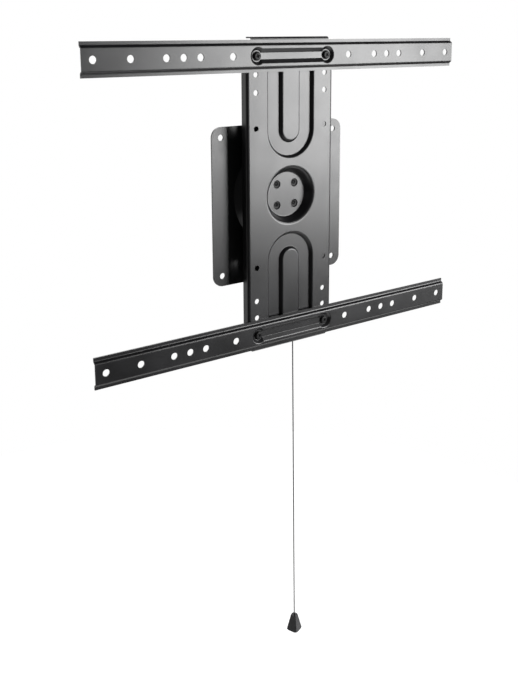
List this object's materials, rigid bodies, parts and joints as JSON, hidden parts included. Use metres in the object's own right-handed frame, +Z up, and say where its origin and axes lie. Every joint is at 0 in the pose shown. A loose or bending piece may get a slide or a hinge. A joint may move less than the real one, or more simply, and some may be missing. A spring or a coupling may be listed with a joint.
{
  "type": "pivoting screen wall mount",
  "caption": "Slim wall mount for a flat screen: two hole rails on a swivel plate that turns a quarter turn on a round hub, locked by a spring latch with a pull cord.",
  "frame": {"origin": "centre of the four wall holes, on the wall plane behind the wall plate", "axes": "+X along the rails, +Y into the wall, +Z up; the front faces -Y; the pivot is 12 mm above the origin"},
  "size_m": [0.63, 0.0376, 0.958],
  "materials": {
    "coated_front_steel": "satin",
    "coated_wall_steel": "satin",
    "coated_latch_steel": "satin",
    "zinc_steel": "satin",
    "blackened_screws": "satin",
    "spring_wire": "satin",
    "bearing_nylon": "matte",
    "cord_braid": "matte",
    "knob_plastic": "matte"
  },
  "bodies": {
    "wall_side": {"wall_plate": "coated_wall_steel", "front_bearing_ring": "bearing_nylon", "rear_bearing_ring": "bearing_nylon", "stop_pin": "zinc_steel", "latch_guide": "zinc_steel", "guide_rivet_left": "zinc_steel", "guide_rivet_right": "zinc_steel", "spring_post_left": "zinc_steel", "spring_post_right": "zinc_steel"},
    "rotor": {"rotor_plate": "coated_front_steel", "hub": "zinc_steel", "top_rail": "coated_front_steel", "bottom_rail": "coated_front_steel", "hub_screw_1": "blackened_screws", "hub_screw_2": "blackened_screws", "hub_screw_3": "blackened_screws", "hub_screw_4": "blackened_screws", "rail_screw_1": "blackened_screws", "rail_screw_2": "blackened_screws", "rail_screw_3": "blackened_screws", "rail_screw_4": "blackened_screws", "rail_washer_1": "blackened_screws", "rail_washer_2": "blackened_screws", "rail_washer_3": "blackened_screws", "rail_washer_4": "blackened_screws", "rail_nut_1": "zinc_steel", "rail_nut_2": "zinc_steel", "rail_nut_3": "zinc_steel", "rail_nut_4": "zinc_steel"},
    "latch": {"latch_bolt": "coated_latch_steel", "latch_post_left": "zinc_steel", "latch_post_right": "zinc_steel", "latch_spring_left": "spring_wire", "latch_spring_right": "spring_wire", "cord_knot": "cord_braid", "pull_cord": "cord_braid", "cord_knob": "knob_plastic", "knob_knot": "cord_braid"}
  },
  "joints": [
    {"name": "rotor_turn", "type": "hinge", "parent": "wall_side", "child": "rotor", "pos_m": [0, 0, 0.012], "axis": [0, 1, 0], "range_deg": [0, 90]},
    {"name": "latch_slide", "type": "slide", "parent": "wall_side", "child": "latch", "axis": [0, 0, 1], "range_m": [0, 0.0065], "stiffness_N_per_m": 500, "springref_m": 0.011, "deforming": ["latch_spring_left", "latch_spring_right"]}
  ]
}
